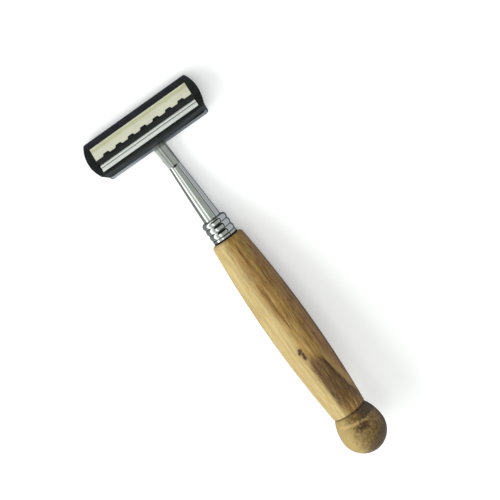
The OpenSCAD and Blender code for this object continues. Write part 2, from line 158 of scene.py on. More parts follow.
def drawing_frame(y_axis, z_axis, known_world, known_local):
    """The matrix of a frame with those axes, where a known point of the world has those mm."""
    rotation = Matrix((Vector(y_axis).cross(Vector(z_axis)), y_axis, z_axis)).transposed()
    origin = Vector(known_world) - rotation @ Vector(known_local) * MM
    return Matrix.Translation(origin) @ rotation.to_4x4()


along_handle = Vector(mounts["stand_fork"]["axis"]).normalized()
handle_up = Vector((1, 0, 0)).cross(along_handle)
fork_height = KNEE_Y - 1
HANDLE = drawing_frame(along_handle, handle_up, mounts["stand_fork"]["pos_m"], (0, fork_height, 0))

face_normal = Vector(joints["plunger_press"]["axis"]).normalized()
across_face = face_normal.cross(Vector((1, 0, 0)))
heel_rise = HEEL_WIDTH / 2 * face_normal.y / face_normal.z
HEAD = drawing_frame(across_face, face_normal, mounts["heel_rest"]["pos_m"],
                     (0, HEEL_MID_V, T_BAR_BACK_W + heel_rise))

# --------------------------------------------------------------------------------------------------
# Node-graph helpers
# --------------------------------------------------------------------------------------------------


def srgb(red, green, blue):
    """A linear colour from 0-255 display values."""
    def linear(value):
        share = value / 255
        return share / 12.92 if share <= 0.04045 else ((share + 0.055) / 1.055) ** 2.4
    return (linear(red), linear(green), linear(blue), 1)


class Graph:
    """A node tree with short ways to add and join nodes."""

    def __init__(self, tree):
        self.tree = tree
        tree.nodes.clear()

    def put(self, socket, value):
        """Links a socket to another node's output, or sets its value."""
        if isinstance(value, bpy.types.NodeSocket):
            self.tree.links.new(value, socket)
        elif value is not None:
            socket.default_value = value

    def node(self, kind, inputs=None, **settings):
        made = self.tree.nodes.new(kind)
        for name, value in settings.items():
            setattr(made, name, value)
        for name, value in (inputs or {}).items():
            self.put(made.inputs[name], value)
        return made

    def math(self, operation, first, second=None, third=None):
        made = self.node("ShaderNodeMath", operation=operation)
        for socket, value in zip(made.inputs, (first, second, third)):
            self.put(socket, value)
        return made.outputs[0]

    def add(self, first, second):
        return self.math("ADD", first, second)

    def subtract(self, first, second):
        return self.math("SUBTRACT", first, second)

    def multiply(self, first, second):
        return self.math("MULTIPLY", first, second)

    def distance(self, first, second):
        """The length of the vector with those two parts."""
        return self.math("SQRT", self.add(self.math("POWER", first, 2.0), self.math("POWER", second, 2.0)))

    def ramp(self, value, low, high):
        """0 below low, 1 above high, and smooth between; low may be above high."""
        made = self.node("ShaderNodeMapRange", {"Value": value, "From Min": low, "From Max": high},
                         interpolation_type="SMOOTHSTEP")
        return made.outputs["Result"]

    def window(self, value, low, high, soft):
        """1 between low and high, fading to 0 over a soft distance outside them."""
        return self.multiply(self.ramp(value, low - soft, low), self.ramp(value, high + soft, high))

    def hump(self, value, centre, half_width):
        """1 at the centre, falling smoothly to 0 at half_width on each side."""
        return self.ramp(self.math("ABSOLUTE", self.subtract(value, centre)), half_width, 0)

    def mix(self, share, first, second):
        """A colour from two, by share."""
        made = self.node("ShaderNodeMix", data_type="RGBA")
        colour_inputs = [socket for socket in made.inputs if socket.type == "RGBA"]
        colour_outputs = [socket for socket in made.outputs if socket.type == "RGBA"]
        self.put(made.inputs[0], share)
        self.put(colour_inputs[0], first)
        self.put(colour_inputs[1], second)
        return colour_outputs[0]

    def stretched(self, vector, x, y, z):
        """The vector with each part multiplied."""
        made = self.node("ShaderNodeVectorMath", operation="MULTIPLY")
        self.put(made.inputs[0], vector)
        made.inputs[1].default_value = (x, y, z)
        return made.outputs[0]

    def noise(self, vector, scale, detail=2.0, roughness=0.5, distortion=0.0):
        """Noise from 0 to 1 that averages one half."""
        made = self.node("ShaderNodeTexNoise", {"Vector": vector, "Scale": scale, "Detail": detail,
                                                "Roughness": roughness, "Distortion": distortion})
        return made.outputs["Fac"]

    def parts(self, vector):
        made = self.node("ShaderNodeSeparateXYZ", {"Vector": vector})
        return made.outputs["X"], made.outputs["Y"], made.outputs["Z"]

    def joined(self, x, y, z):
        return self.node("ShaderNodeCombineXYZ", {"X": x, "Y": y, "Z": z}).outputs["Vector"]

    def bump(self, height, depth_mm, normal=None):
        """Shading relief: a height of 1 stands depth_mm proud."""
        made = self.node("ShaderNodeBump", {"Height": height, "Distance": depth_mm * MM, "Strength": 1.0})
        self.put(made.inputs["Normal"], normal)
        return made.outputs["Normal"]


class Surface(Graph):
    """A material around one Principled shader. Its place is in millimetres in a drawing frame."""

    def __init__(self, name, drawing, **fixed):
        self.material = bpy.data.materials.new(name)
        self.material.use_nodes = True
        super().__init__(self.material.node_tree)
        self.shader = self.node("ShaderNodeBsdfPrincipled")
        output = self.node("ShaderNodeOutputMaterial")
        self.tree.links.new(self.shader.outputs["BSDF"], output.inputs["Surface"])
        to_drawing = Matrix.Scale(1 / MM, 4) @ drawing.inverted()
        mapping = self.node("ShaderNodeMapping", {"Vector": self.node("ShaderNodeTexCoord").outputs["Object"],
                                                  "Location": to_drawing.to_translation(),
                                                  "Rotation": to_drawing.to_euler(),
                                                  "Scale": to_drawing.to_scale()})
        self.place = mapping.outputs["Vector"]
        self.set(**fixed)

    def set(self, **inputs):
        for name, value in inputs.items():
            self.put(self.shader.inputs[name.replace("_", " ")], value)

# --------------------------------------------------------------------------------------------------
# Materials
# --------------------------------------------------------------------------------------------------


class WoodSurface(Surface):
    """Oiled wood: pale sapwood on the left, streaky heartwood on the right, a knot and a wedge below it."""

    def __init__(self):
        super().__init__("oiled_wood", HANDLE, Specular_IOR_Level=0.35)
        self.x, self.y, self.z = self.parts(self.place)
        self.front = self.ramp(self.z, -2.0, 2.0)
        self.set_grain()
        grain = self.grain
        self.streaks = self.noise(self.stretched(grain, 1.1, 0.045, 1.1), 1.0, 4.0, 0.6)
        self.figure = self.noise(self.stretched(grain, 2.1, 0.11, 2.1), 1.0, 4.0, 0.65)
        self.fibres = self.noise(self.stretched(grain, 5.0, 0.22, 5.0), 1.0, 5.0, 0.65)
        self.clouds = self.noise(self.stretched(grain, 0.25, 0.07, 0.25), 1.0, 3.0)
        dashes = self.noise(self.stretched(grain, 3.4, 0.55, 3.4), 1.0, 3.0, 0.6)
        self.pores = self.ramp(dashes, 0.58, 0.7)
        rough = self.noise(self.stretched(self.place, 1.3, 0.25, 1.3), 1.0, 4.0, 0.6)
        self.ragged = self.swing(rough, 1.6)
        drift = self.noise(self.stretched(self.place, 0.3, 0.06, 0.3), 1.0, 3.0)
        self.edge_drift = self.swing(drift, 2.8)
        self.heart = self.ramp(self.add(self.x, self.edge_drift), -2.0, 1.2)

    def swing(self, noise_value, width_mm):
        """A noise turned into a shift to either side, in millimetres."""
        return self.multiply(self.subtract(noise_value, 0.5), width_mm)

    def set_grain(self):
        """The grain runs along y, wanders a little and flows around the knot."""
        knot_half_width = 3.0
        knot_half_length = 6.5
        wander = self.swing(self.noise(self.stretched(self.place, 0.14, 0.035, 0.14), 1.0, 2.0), 3.0)
        self.from_knot_x = self.subtract(self.x, KNOT.x)
        self.from_knot_y = self.subtract(self.y, KNOT.y)
        self.knot_reach = self.distance(self.multiply(self.from_knot_x, 1 / knot_half_width),
                                        self.multiply(self.from_knot_y, 1 / knot_half_length))
        near_knot = self.multiply(self.ramp(self.knot_reach, 1.0, 0.0), self.front)
        swerve = self.multiply(near_knot, self.multiply(self.from_knot_x, -0.65))
        self.grain_x = self.add(self.add(self.x, wander), swerve)
        self.grain = self.joined(self.grain_x, self.y, self.z)

    def rings(self):
        """Growth rings around a pith that lies outside the handle, to the right and below."""
        pith_x = 13.0
        pith_z = -7.0
        ring_pitch = 1.7
        from_pith = self.distance(self.subtract(self.grain_x, pith_x), self.subtract(self.z, pith_z))
        wobble = self.multiply(self.noise(self.stretched(self.grain, 0.5, 0.03, 0.5), 1.0, 3.0), 4.0)
        wave = self.math("SINE", self.add(self.multiply(from_pith, TURN / ring_pitch), wobble))
        return self.add(self.multiply(wave, 0.5), 0.5)

    def ground(self):
        """Sapwood to heartwood, a redder right side that is partly heartwood colour and partly painted shade,
        and a lighter golden area above the knot.
        """
        sap = self.mix(self.ramp(self.streaks, 0.25, 0.8), srgb(206, 184, 128), srgb(176, 150, 94))
        heart = self.mix(self.multiply(self.rings(), 0.6), srgb(176, 138, 72), srgb(136, 100, 48))
        dark_streaks = self.multiply(self.ramp(self.streaks, 0.5, 0.72), 0.8)
        heart = self.mix(dark_streaks, heart, srgb(108, 74, 32))
        colour = self.mix(self.heart, sap, heart)
        # Partly painted shade: the right side darkened and reddened, partly the heartwood's own redder colour
        red_and_shaded_side = self.multiply(self.ramp(self.add(self.x, self.edge_drift), 3.6, 6.4), 0.6)
        colour = self.mix(red_and_shaded_side, colour, srgb(118, 72, 38))
        colour = self.mix(self.multiply(self.ramp(self.clouds, 0.5, 0.72), 0.3), colour, srgb(158, 118, 52))
        golden = self.multiply(self.hump(self.x, 1.6, 3.4), self.window(self.y, -42.0, -34.0, 5.0))
        golden_depth = self.add(0.25, self.multiply(self.clouds, 0.7))
        golden = self.multiply(self.multiply(golden, self.front), golden_depth)
        return self.mix(golden, colour, srgb(194, 158, 88))

    def with_figure(self, colour):
        """Thin dark and light lines, the dark ones strongest in the heartwood."""
        depth = self.add(0.1, self.multiply(self.heart, 0.5))
        colour = self.mix(self.multiply(self.ramp(self.figure, 0.5, 0.64), depth), colour, srgb(92, 60, 26))
        return self.mix(self.multiply(self.ramp(self.figure, 0.44, 0.3), 0.4), colour, srgb(214, 188, 130))

    def with_boundary_lines(self, colour):
        """The dark line where heartwood starts, and a shorter one near the ferrule."""
        slope = -0.076
        crossing_y = -15.0
        line_x = self.multiply(self.subtract(self.y, crossing_y), slope)
        line_x = self.add(line_x, self.add(-0.1, self.multiply(self.edge_drift, 0.25)))
        line = self.hump(self.subtract(self.x, line_x), 0.0, 0.7)
        line = self.multiply(line, self.window(self.y, -33.0, -19.0, 4.0))
        upper_line = self.hump(self.add(self.x, self.multiply(self.edge_drift, 0.3)), 2.0, 0.6)
        upper_line = self.multiply(upper_line, self.window(self.y, -11.0, -4.0, 3.0))
        lines = self.multiply(self.math("MAXIMUM", line, upper_line), self.multiply(self.front, 0.5))
        return self.mix(lines, colour, srgb(104, 68, 28))

    def with_wedge(self, colour):
        """The dark wedge below the knot, with a light streak along its right side."""
        top_y = -45.0
        left_x = -0.7
        right_x_at_top = 3.7
        widening = 0.13
        below_top = self.subtract(top_y, self.y)
        from_left = self.subtract(self.add(self.x, self.ragged), left_x)
        right_x = self.add(right_x_at_top, self.multiply(below_top, widening))
        past_right = self.subtract(self.add(self.x, self.multiply(self.ragged, 0.3)), right_x)
        ragged_ends = self.multiply(self.ragged, 3.0)
        top = self.ramp(self.add(below_top, ragged_ends), -1.5, 3.5)
        foot = self.ramp(self.add(self.y, ragged_ends), -66.5, -60.5)
        sides = self.multiply(self.ramp(from_left, -0.7, 0.5), self.ramp(past_right, 0.25, -0.25))
        ends = self.multiply(top, self.add(self.multiply(foot, 0.7), 0.3))
        wedge = self.multiply(self.multiply(sides, ends), self.front)
        dark = self.mix(self.hump(past_right, -0.5, 0.8), srgb(92, 64, 32), srgb(58, 38, 18))
        dark = self.mix(self.hump(from_left, 0.7, 0.8), dark, srgb(62, 38, 18))
        dark = self.mix(self.multiply(self.ramp(self.clouds, 0.4, 0.6), 0.5), dark, srgb(108, 76, 44))
        dark = self.mix(self.multiply(self.ramp(self.figure, 0.5, 0.36), 0.6), dark, srgb(140, 106, 58))
        colour = self.mix(self.multiply(wedge, 0.95), colour, dark)
        streak = self.multiply(self.window(past_right, 0.35, 0.9, 0.5), self.multiply(top, self.front))
        return self.mix(self.multiply(streak, 0.75), colour, srgb(172, 138, 82))

    def with_knot(self, colour):
        """Dark hearts in a brown halo."""
        halo = self.ramp(self.add(self.knot_reach, self.multiply(self.ragged, 0.2)), 0.62, 0.1)
        colour = self.mix(self.multiply(self.multiply(halo, self.front), 0.6), colour, srgb(128, 88, 38))
        for offset_x, offset_y, half_width, half_length in KNOT_HEARTS:
            reach = self.distance(self.multiply(self.subtract(self.from_knot_x, offset_x), 1 / half_width),
                                  self.multiply(self.subtract(self.from_knot_y, offset_y), 1 / half_length))
            core = self.ramp(self.add(reach, self.multiply(self.ragged, 0.45)), 1.15, 0.45)
            colour = self.mix(self.multiply(self.multiply(core, self.front), 0.9), colour, srgb(58, 26, 12))
        return colour

    def with_knob(self, colour):
        """The blotched knob: pale left, mottled middle, dark lower right, a painted highlight line across its
        shoulder, a dark patch, a darker band on the right below the groove and painted shade in the groove.
        """
        blotches = self.noise(self.stretched(self.place, 0.42, 0.5, 0.42), 1.0, 5.0, 0.62, 0.6)
        mottles = self.noise(self.stretched(self.place, 1.5, 1.2, 1.5), 1.0, 4.0, 0.65, 0.4)
        pale = self.mix(self.streaks, srgb(190, 166, 104), srgb(156, 132, 74))
        brown = self.mix(self.ramp(mottles, 0.34, 0.66), srgb(92, 68, 34), srgb(144, 116, 64))
        knob = self.mix(self.ramp(self.add(self.x, self.swing(blotches, 10.0)), -4.6, 0.6), pale, brown)

        lower_right = self.subtract(self.multiply(self.x, 0.7), self.add(self.y, 76.0))
        lower_right = self.ramp(self.add(lower_right, self.swing(blotches, 6.0)), 1.0, 6.5)
        knob = self.mix(self.multiply(lower_right, 0.75), knob, srgb(66, 50, 30))

        # Painted highlight: a light line across the knob's front where a ledge would catch the light
        ledge_y = -70.9
        ledge_slope = -0.16
        from_ledge = self.subtract(self.y, self.add(ledge_y, self.multiply(self.x, ledge_slope)))
        painted_ledge_highlight = self.multiply(self.window(self.x, -4.0, 3.6, 1.6), self.front)
        painted_ledge_highlight = self.multiply(self.hump(from_ledge, 0.0, 0.9), painted_ledge_highlight)
        knob = self.mix(self.multiply(painted_ledge_highlight, 0.8), knob, srgb(196, 168, 110))

        patch = Vector((1.9, -72.7))
        patch_half_width = 3.0
        patch_half_length = 1.6
        reach = self.distance(self.multiply(self.subtract(self.x, patch.x), 1 / patch_half_width),
                              self.multiply(self.subtract(self.y, patch.y), 1 / patch_half_length))
        inside = self.multiply(self.ramp(self.add(reach, self.swing(mottles, 2.0)), 1.2, 0.4), self.front)
        knob = self.mix(self.multiply(inside, 0.85), knob, srgb(58, 34, 20))

        colour = self.mix(self.ramp(self.y, GROOVE_Y + 0.2, GROOVE_Y - 0.6), colour, knob)
        # Darker on the right of the knob, in a band just below the groove
        dark_band_below_groove = self.ramp(self.add(self.x, self.multiply(self.ragged, 2.0)), 0.6, 3.2)
        dark_band_below_groove = self.multiply(self.window(self.y, -70.6, -67.9, 0.9), dark_band_below_groove)
        colour = self.mix(self.multiply(dark_band_below_groove, 0.85), colour, srgb(58, 42, 32))
        # Painted shade: a dark line along the V groove
        groove_shade = self.hump(self.y, GROOVE_Y, 0.5)
        return self.mix(self.multiply(groove_shade, 0.8), colour, srgb(56, 38, 22))

    def with_pores(self, colour):
        """Short dark dashes, and the fibres' own light and dark."""
        pore_depth = self.add(0.12, self.multiply(self.heart, 0.45))
        colour = self.mix(self.multiply(self.pores, pore_depth), colour, srgb(70, 42, 20))
        colour = self.mix(self.multiply(self.ramp(self.fibres, 0.5, 0.75), 0.35), colour, srgb(222, 198, 142))
        fibre_depth = self.add(0.18, self.multiply(self.heart, 0.45))
        dark_fibres = self.multiply(self.ramp(self.fibres, 0.5, 0.25), fibre_depth)
        return self.mix(dark_fibres, colour, srgb(88, 56, 26))

    def with_painted_right_shade(self, colour):
        # Painted shade: the right side, away from the light, darkened into the wood's colour
        right_shade = self.ramp(self.subtract(self.x, self.z), 4.4, 7.6)
        return self.mix(self.multiply(right_shade, 0.7), colour, srgb(66, 38, 20))

    def relief(self):
        """Turning marks, raised fibres and sunken pores."""
        turning = self.noise(self.stretched(self.place, 0.05, 5.5, 0.05), 1.0, 2.0)
        relief = self.bump(turning, 0.006)
        relief = self.bump(self.fibres, 0.03, relief)
        return self.bump(self.multiply(self.pores, -1.0), 0.02, relief)


def wood_material():
    surface = WoodSurface()
    colour = surface.ground()
    for layer in (surface.with_figure, surface.with_boundary_lines, surface.with_wedge, surface.with_knot,
                  surface.with_knob, surface.with_pores, surface.with_painted_right_shade):
        colour = layer(colour)
    roughness = surface.add(0.4, surface.multiply(surface.fibres, 0.22))
    surface.set(Base_Color=colour, Roughness=roughness, Normal=surface.relief())
    surface.shader.inputs["Coat Weight"].default_value = 0.2
    surface.shader.inputs["Coat Roughness"].default_value = 0.14
    return surface.material


def chrome_material():
    """Bright plating with haze, hairlines and smears, with painted reflection darkening the arm and the
    T-bar's middle, and painted shade in the grooves.
    """
    surface = Surface("chrome_plating", HANDLE, Metallic=1.0)
    g = surface
    smears = g.noise(g.place, 0.45, 3.0, 0.5, 0.4)
    hairlines = g.noise(g.stretched(g.place, 9.0, 0.5, 9.0), 1.0, 2.0)
    colour = g.mix(smears, srgb(238, 240, 237), srgb(216, 220, 217))
    x, y, _ = g.parts(g.place)

    # Painted reflection: dark lines along the arm, beside its ridge, on its left facet and on its right edge
    on_arm = g.ramp(y, KNEE_Y - 0.5, KNEE_Y + 0.5)
    drawn = g.noise(g.stretched(g.place, 1.6, 0.12, 1.6), 1.0, 4.0, 0.6)
    lines = g.math("MAXIMUM", g.hump(x, 0.15, 0.4), g.multiply(g.hump(x, -0.75, 0.6), 0.7))
    lines = g.math("MAXIMUM", lines, g.ramp(x, 1.5, 2.0))
    lines = g.multiply(g.multiply(lines, on_arm), g.add(0.15, g.multiply(drawn, 0.9)))
    colour = g.mix(lines, colour, srgb(96, 100, 96))

    # Painted reflection darkening the middle of the T-bar, and painted shade in the grooves between the beads
    bar_y = KNEE_Y + ARM_LENGTH
    painted_bar_reflection = g.multiply(g.ramp(g.math("ABSOLUTE", x), 13.0, 4.0), g.ramp(y, bar_y - 1.0, bar_y))
    colour = g.mix(g.multiply(painted_bar_reflection, 0.7), colour, srgb(92, 94, 92))
    # Painted shade: each groove between the beads darkened in the plating's colour
    for i in range(BEAD_COUNT + 1):
        groove = g.hump(y, COLLAR_TOP + i * BEAD_PITCH, 0.3)
        colour = g.mix(g.multiply(groove, 0.85), colour, srgb(44, 46, 46))

    roughness = g.add(0.05, g.multiply(smears, 0.09))
    relief = g.bump(hairlines, 0.0012)
    relief = g.bump(smears, 0.02, relief)
    surface.set(Base_Color=colour, Roughness=roughness, Normal=relief)
    return surface.material


def plastic_material(name, dark, light, roughness_low, roughness_high, grain_depth):
    """Moulded plastic: a fine spark-eroded grain, with patches rubbed a little smoother."""
    surface = Surface(name, HEAD, Specular_IOR_Level=0.3)
    g = surface
    grain = g.noise(g.place, 7.0, 3.0, 0.6)
    patches = g.noise(g.place, 0.35, 3.0, 0.5)
    colour = g.mix(g.ramp(patches, 0.3, 0.75), dark, light)
    colour = g.mix(g.multiply(g.ramp(grain, 0.55, 0.8), 0.35), colour, light)
    roughness = g.add(roughness_low, g.multiply(patches, roughness_high - roughness_low))
    surface.set(Base_Color=colour, Roughness=roughness, Normal=g.bump(grain, grain_depth))
    return surface.material


def strip_material():
    """Waxy lubricating polymer: drawn lines along the strip, greener in its upper third."""
    surface = Surface("lubricating_wax", HEAD, Specular_IOR_Level=0.5)
    g = surface
    _, y, _ = g.parts(g.place)
    drawn = g.noise(g.stretched(g.place, 0.12, 2.4, 2.4), 1.0, 4.0, 0.6)
    mottles = g.noise(g.stretched(g.place, 0.35, 0.9, 0.9), 1.0, 3.0)
    grey_patch = g.ramp(g.noise(g.stretched(g.place, 0.12, 0.2, 0.2), 1.0, 2.0), 0.45, 0.7)
    green_band = g.multiply(g.hump(g.add(y, g.multiply(g.subtract(mottles, 0.5), 1.2)), 2.75, 1.0), 0.8)
    colour = g.mix(drawn, srgb(222, 222, 202), srgb(208, 208, 186))
    colour = g.mix(g.multiply(grey_patch, 0.4), colour, srgb(196, 191, 174))
    colour = g.mix(g.multiply(green_band, g.add(0.2, drawn)), colour, srgb(172, 174, 112))
    relief = g.bump(drawn, 0.02)
    surface.set(Base_Color=colour, Roughness=g.add(0.38, g.multiply(mottles, 0.2)), Normal=relief)
    surface.shader.inputs["Subsurface Weight"].default_value = 0.15
    surface.shader.inputs["Subsurface Scale"].default_value = 0.3 * MM
    surface.shader.inputs["Subsurface Radius"].default_value = (1.0, 0.9, 0.6)
    return surface.material


def metal_material(name, drawing, light, dark, stretch, roughness_low, roughness_high, relief_depth):
    """Worked metal: marks drawn out across the axis in which stretch is largest."""
    surface = Surface(name, drawing, Metallic=1.0)
    g = surface
    marks = g.noise(g.stretched(g.place, *stretch), 1.0, 3.0, 0.6)
    haze = g.noise(g.place, 0.5, 3.0)
    colour = g.mix(g.add(g.multiply(marks, 0.6), g.multiply(haze, 0.4)), light, dark)
    roughness = g.add(roughness_low, g.multiply(marks, roughness_high - roughness_low))
    surface.set(Base_Color=colour, Roughness=roughness, Normal=g.bump(marks, relief_depth))
    return surface.material


def rubber_material():
    """Matt black gasket rubber with a dusty bloom."""
    surface = Surface("gasket_rubber_skin", HANDLE, Specular_IOR_Level=0.3)
    g = surface
    bloom = g.noise(g.place, 1.6, 4.0, 0.6)
    colour = g.mix(bloom, srgb(14, 14, 14), srgb(34, 34, 33))
    surface.set(Base_Color=colour, Roughness=g.add(0.6, g.multiply(bloom, 0.25)), Normal=g.bump(bloom, 0.02))
    return surface.material


MATERIALS = {
    "turned_wood": wood_material(),
    "chrome_plate": chrome_material(),
    "insert_brass": metal_material("machined_brass", HANDLE, srgb(214, 178, 104), srgb(176, 138, 70),
                                   (0.3, 6.0, 0.3), 0.22, 0.4, 0.004),
    "stud_steel": metal_material("turned_steel", HANDLE, srgb(200, 200, 200), srgb(150, 150, 152),
                                 (0.3, 7.0, 0.3), 0.25, 0.45, 0.004),
    "gasket_rubber": rubber_material(),
    "cartridge_plastic": plastic_material("black_moulding", srgb(22, 25, 23), srgb(34, 38, 36),
                                          0.34, 0.5, 0.006),
    "bar_plastic": plastic_material("charcoal_moulding", srgb(32, 32, 38), srgb(44, 44, 52),
                                    0.3, 0.45, 0.006),
    "strip_polymer": strip_material(),
    "blade_steel": metal_material("ground_blade_steel", HEAD, srgb(248, 249, 246), srgb(232, 235, 231),
                                  (0.15, 5.0, 5.0), 0.24, 0.34, 0.0012),
}

# --------------------------------------------------------------------------------------------------
# Shape helpers: outlines are lists of (across, along) in millimetres
# --------------------------------------------------------------------------------------------------


def arc(centre, radius, from_degrees, to_degrees, steps=16):
    angles = [math.radians(from_degrees + (to_degrees - from_degrees) * i / steps) for i in range(steps + 1)]
    return [(centre[0] + radius * math.cos(a), centre[1] + radius * math.sin(a)) for a in angles]


def rounded(corners, closed=True, steps=5):
    """An outline from corners (a, b, radius), each turned into an arc of about that radius."""
    outline = []
    count = len(corners)
    for i, (a, b, radius) in enumerate(corners):
        here = Vector((a, b))
        if radius == 0 or (not closed and i in (0, count - 1)):
            outline.append(tuple(here))
            continue
        before = Vector(corners[i - 1][:2]) - here
        after = Vector(corners[(i + 1) % count][:2]) - here
        half_angle = before.angle(after) / 2
        reach = min(radius / math.tan(half_angle), before.length / 2, after.length / 2)
        start = here + before.normalized() * reach
        end = here + after.normalized() * reach
        for k in range(steps + 1):
            t = k / steps
            outline.append(tuple(start * (1 - t) ** 2 + here * 2 * t * (1 - t) + end * t ** 2))
    return outline


def revolve(profile, segments=160):
    """A skin around the y axis from a profile of (radius, y) that starts and ends on the axis or closes."""
    shape = bmesh.new()
    rings = []
    for radius, y in profile:
        if radius < 1e-6:
            rings.append([shape.verts.new((0, y, 0))])
            continue
        turns = [TURN * i / segments for i in range(segments)]
        rings.append([shape.verts.new((radius * math.sin(t), y, radius * math.cos(t))) for t in turns])
    starts_on_axis = len(rings[0]) == 1
    pairs = list(zip(rings, rings[1:] if starts_on_axis else rings[1:] + rings[:1]))
    for low, high in pairs:
        for i in range(segments):
            j = (i + 1) % segments
            corners = [low[i % len(low)], low[j % len(low)], high[j % len(high)], high[i % len(high)]]
            shape.faces.new(list(dict.fromkeys(corners)))
    return shape


def loft(sections):
    """A closed skin through sections with the same number of points, capped at both ends."""
    shape = bmesh.new()
    rings = [[shape.verts.new(point) for point in section] for section in sections]
    for low, high in zip(rings, rings[1:]):
        for i in range(len(low)):
            j = (i + 1) % len(low)
            shape.faces.new((low[i], low[j], high[j], high[i]))
    shape.faces.new(rings[0])
    shape.faces.new(rings[-1])
    return shape


def local_copy(node, drawing):
    """A CAD node's shape in a drawing frame, in millimetres, with its flat faces whole again."""
    shape = bmesh.new()
    shape.from_mesh(frame["nodes"][node].data)
    bmesh.ops.transform(shape, matrix=Matrix.Scale(1 / MM, 4) @ drawing.inverted(), verts=shape.verts)
    bmesh.ops.remove_doubles(shape, verts=shape.verts, dist=0.0005)
    bmesh.ops.dissolve_limit(shape, angle_limit=math.radians(0.5), verts=shape.verts, edges=shape.edges)
    return shape


def round_edges(shape, width, chosen=lambda middle: True, sharper_than=35, segments=3):
    """Rounds the sharp outer edges whose middle is chosen."""
    edges = []
    for edge in shape.edges:
        if len(edge.link_faces) != 2 or not edge.is_convex:
            continue
        middle = (edge.verts[0].co + edge.verts[1].co) / 2
        if edge.calc_face_angle(0) > math.radians(sharper_than) and chosen(middle):
            edges.append(edge)
    bmesh.ops.bevel(shape, geom=edges, offset=width, segments=segments, profile=0.5, affect="EDGES",
                    clamp_overlap=True)


def add_piece(name, shape, drawing, node, slot, smooth_below=30):
    """Turns a shape into a piece that stands for a CAD node, with that slot's material."""
    bmesh.ops.recalc_face_normals(shape, faces=shape.faces)
    mesh = bpy.data.meshes.new(name)
    bmesh.ops.transform(shape, matrix=drawing @ Matrix.Scale(MM, 4), verts=shape.verts)
    shape.to_mesh(mesh)
    shape.free()
    mesh.shade_smooth()
    mesh.set_sharp_from_angle(angle=math.radians(smooth_below))
    mesh.materials.append(MATERIALS[slot])
    piece = bpy.data.objects.new(name, mesh)
    bpy.context.scene.collection.objects.link(piece)
    weighted = piece.modifiers.new("even_shading", "WEIGHTED_NORMAL")
    weighted.keep_sharp = True
    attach(piece, frame["nodes"][node]["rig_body"])
    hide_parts(node)
    return piece

# --------------------------------------------------------------------------------------------------
# Handle
# --------------------------------------------------------------------------------------------------


def barrel_radius_at(y):
    return BARREL_RADIUS - BARREL_ARC + math.sqrt(BARREL_ARC ** 2 - (y - BELLY_Y) ** 2)


def wood_profile():
    """Bore, shoulder, barrel, V groove and knob, as (radius, y)."""
    shoulder_top = barrel_radius_at(-SHOULDER_RADIUS)
    profile = [(0, -BORE_DEPTH), (BORE_RADIUS, -BORE_DEPTH), (BORE_RADIUS, 0)]
    profile += reversed(arc((shoulder_top - SHOULDER_RADIUS, -SHOULDER_RADIUS), SHOULDER_RADIUS, 0, 90, 10))
    barrel_low = GROOVE_Y + GROOVE_HALF_WIDTH
    barrel_step = 0.35
    count = int((-SHOULDER_RADIUS - barrel_low) / barrel_step)
    heights = [-SHOULDER_RADIUS + (barrel_low + SHOULDER_RADIUS) * i / count for i in range(1, count)]
    profile += [(barrel_radius_at(y), y) for y in heights]
    knob_top = GROOVE_Y - GROOVE_HALF_WIDTH
    top_angle = math.asin((knob_top - KNOB_Y) / KNOB_HIGH_HALF_LENGTH)
    knob_top_radius = KNOB_RADIUS * math.cos(top_angle)
    profile += rounded([
        (barrel_radius_at(barrel_low + barrel_step), barrel_low + barrel_step, 0),
        (barrel_radius_at(barrel_low), barrel_low, 0.15),
        (GROOVE_RADIUS, GROOVE_Y, 0.08),
        (knob_top_radius, knob_top, 0.15),
        (knob_top_radius + 0.3, knob_top - 0.35, 0),
    ], closed=False)[1:-1]
    knob_steps = 60
    for i in range(2, knob_steps + 1):
        angle = top_angle - (top_angle + math.pi / 2) * i / knob_steps
        half_length = KNOB_HIGH_HALF_LENGTH if angle > 0 else KNOB_LOW_HALF_LENGTH
        profile.append((KNOB_RADIUS * math.cos(angle), KNOB_Y + half_length * math.sin(angle)))
    profile[-1] = (0, -WOOD_LENGTH)
    return profile


def wear_wood(shape):
    """Lathe unevenness, and a shallow hollow in each of the knot's hearts. The wood only ever sinks in."""
    uneven_depth = 0.035
    hollow_depth = 0.12
    for vert in shape.verts:
        outward = Vector((vert.co.x, 0, vert.co.z))
        if outward.length < BORE_RADIUS + 0.5:
            continue
        sink = uneven_depth * (0.5 + 0.5 * noise.noise(vert.co * 0.22))
        for offset_x, offset_y, half_width, half_length in KNOT_HEARTS:
            away_x = (vert.co.x - KNOT.x - offset_x) / half_width
            away_y = (vert.co.y - KNOT.y - offset_y) / half_length
            if vert.co.z > 0:
                sink += hollow_depth * math.exp(-away_x ** 2 - away_y ** 2)
        vert.co -= outward.normalized() * sink


wood = revolve(wood_profile(), segments=224)
wear_wood(wood)
add_piece("turned_handle", wood, HANDLE, "wood_handle", "turned_wood")


def ring(low, high, radius, corner):
    """A ring's section around the stud, with its outer edges rounded."""
    return rounded([
        (HOLE_RADIUS, low, 0), (radius, low, corner), (radius, high, corner), (HOLE_RADIUS, high, 0),
    ])


gasket = revolve(ring(0, GASKET_TOP, GASKET_RADIUS, 0.16))
add_piece("rubber_gasket", gasket, HANDLE, "gasket_ring", "gasket_rubber")
collar = revolve(ring(GASKET_TOP, COLLAR_TOP, COLLAR_RADIUS, 0.22))
add_piece("plain_collar", collar, HANDLE, "ferrule_collar", "chrome_plate")


